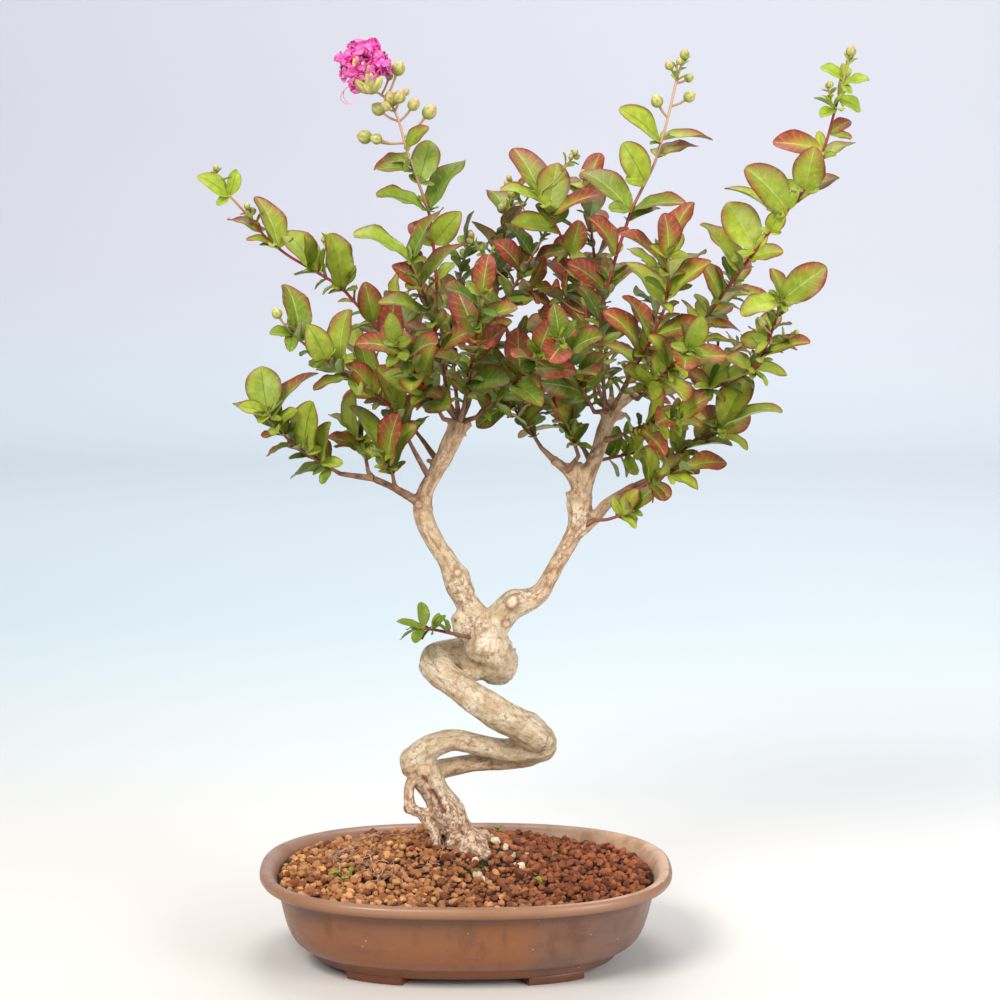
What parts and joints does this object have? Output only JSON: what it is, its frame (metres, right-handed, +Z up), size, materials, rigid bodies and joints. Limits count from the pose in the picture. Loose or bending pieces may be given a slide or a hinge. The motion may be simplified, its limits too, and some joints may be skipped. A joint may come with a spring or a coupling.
{
  "type": "potted bonsai tree",
  "caption": "Crepe myrtle bonsai with a looped trunk, spreading leafy shoots and a magenta bloom, in an oval brown glazed pot.",
  "frame": {"origin": "middle of the plant's bounding box seen from above, on the surface that the pot's feet stand on", "axes": "+Z up, +X to the right of the front view, along the pot's length, -Y towards the viewer"},
  "size_m": [0.4391, 0.2208, 0.6181],
  "materials": {
    "pot": "satin",
    "screen": "matte",
    "soil": "matte",
    "bark": "matte",
    "foliage": "satin",
    "petals": "matte"
  },
  "bodies": {
    "root": {"pot": "pot", "drain_screen_left": "screen", "drain_screen_right": "screen", "soil": "soil", "wood": "bark", "flower": "petals", "flower_shoot": "foliage", "front_shoot": "foliage", "tall_right_shoot": "foliage", "tall_centre_shoot": "foliage", "centre_shoot": "foliage", "long_left_shoot": "foliage", "left_inner_shoot": "foliage", "low_left_shoot": "foliage", "bottom_left_shoot": "foliage", "low_left_twig_shoot": "foliage", "low_left_back_shoot": "foliage", "right_bud_shoot": "foliage", "low_right_shoot": "foliage", "under_right_shoot": "foliage", "lowest_right_shoot": "foliage", "inner_right_shoot": "foliage", "inner_gap_shoot": "foliage", "left_limb_shoot": "foliage", "trunk_sprig": "foliage", "mid_cross_shoot": "foliage", "back_left_shoot": "foliage", "back_middle_shoot": "foliage", "back_tall_shoot": "foliage", "front_left_shoot": "foliage", "front_middle_shoot": "foliage", "front_cross_shoot": "foliage", "side_left_shoot": "foliage", "right_back_shoot": "foliage", "right_back_tall_shoot": "foliage", "right_back_side_shoot": "foliage", "right_back_outer_shoot": "foliage", "right_low_back_shoot": "foliage", "right_front_left_shoot": "foliage", "right_front_shoot": "foliage", "right_front_low_shoot": "foliage", "left_gap_back_shoot": "foliage"}
  },
  "joints": []
}
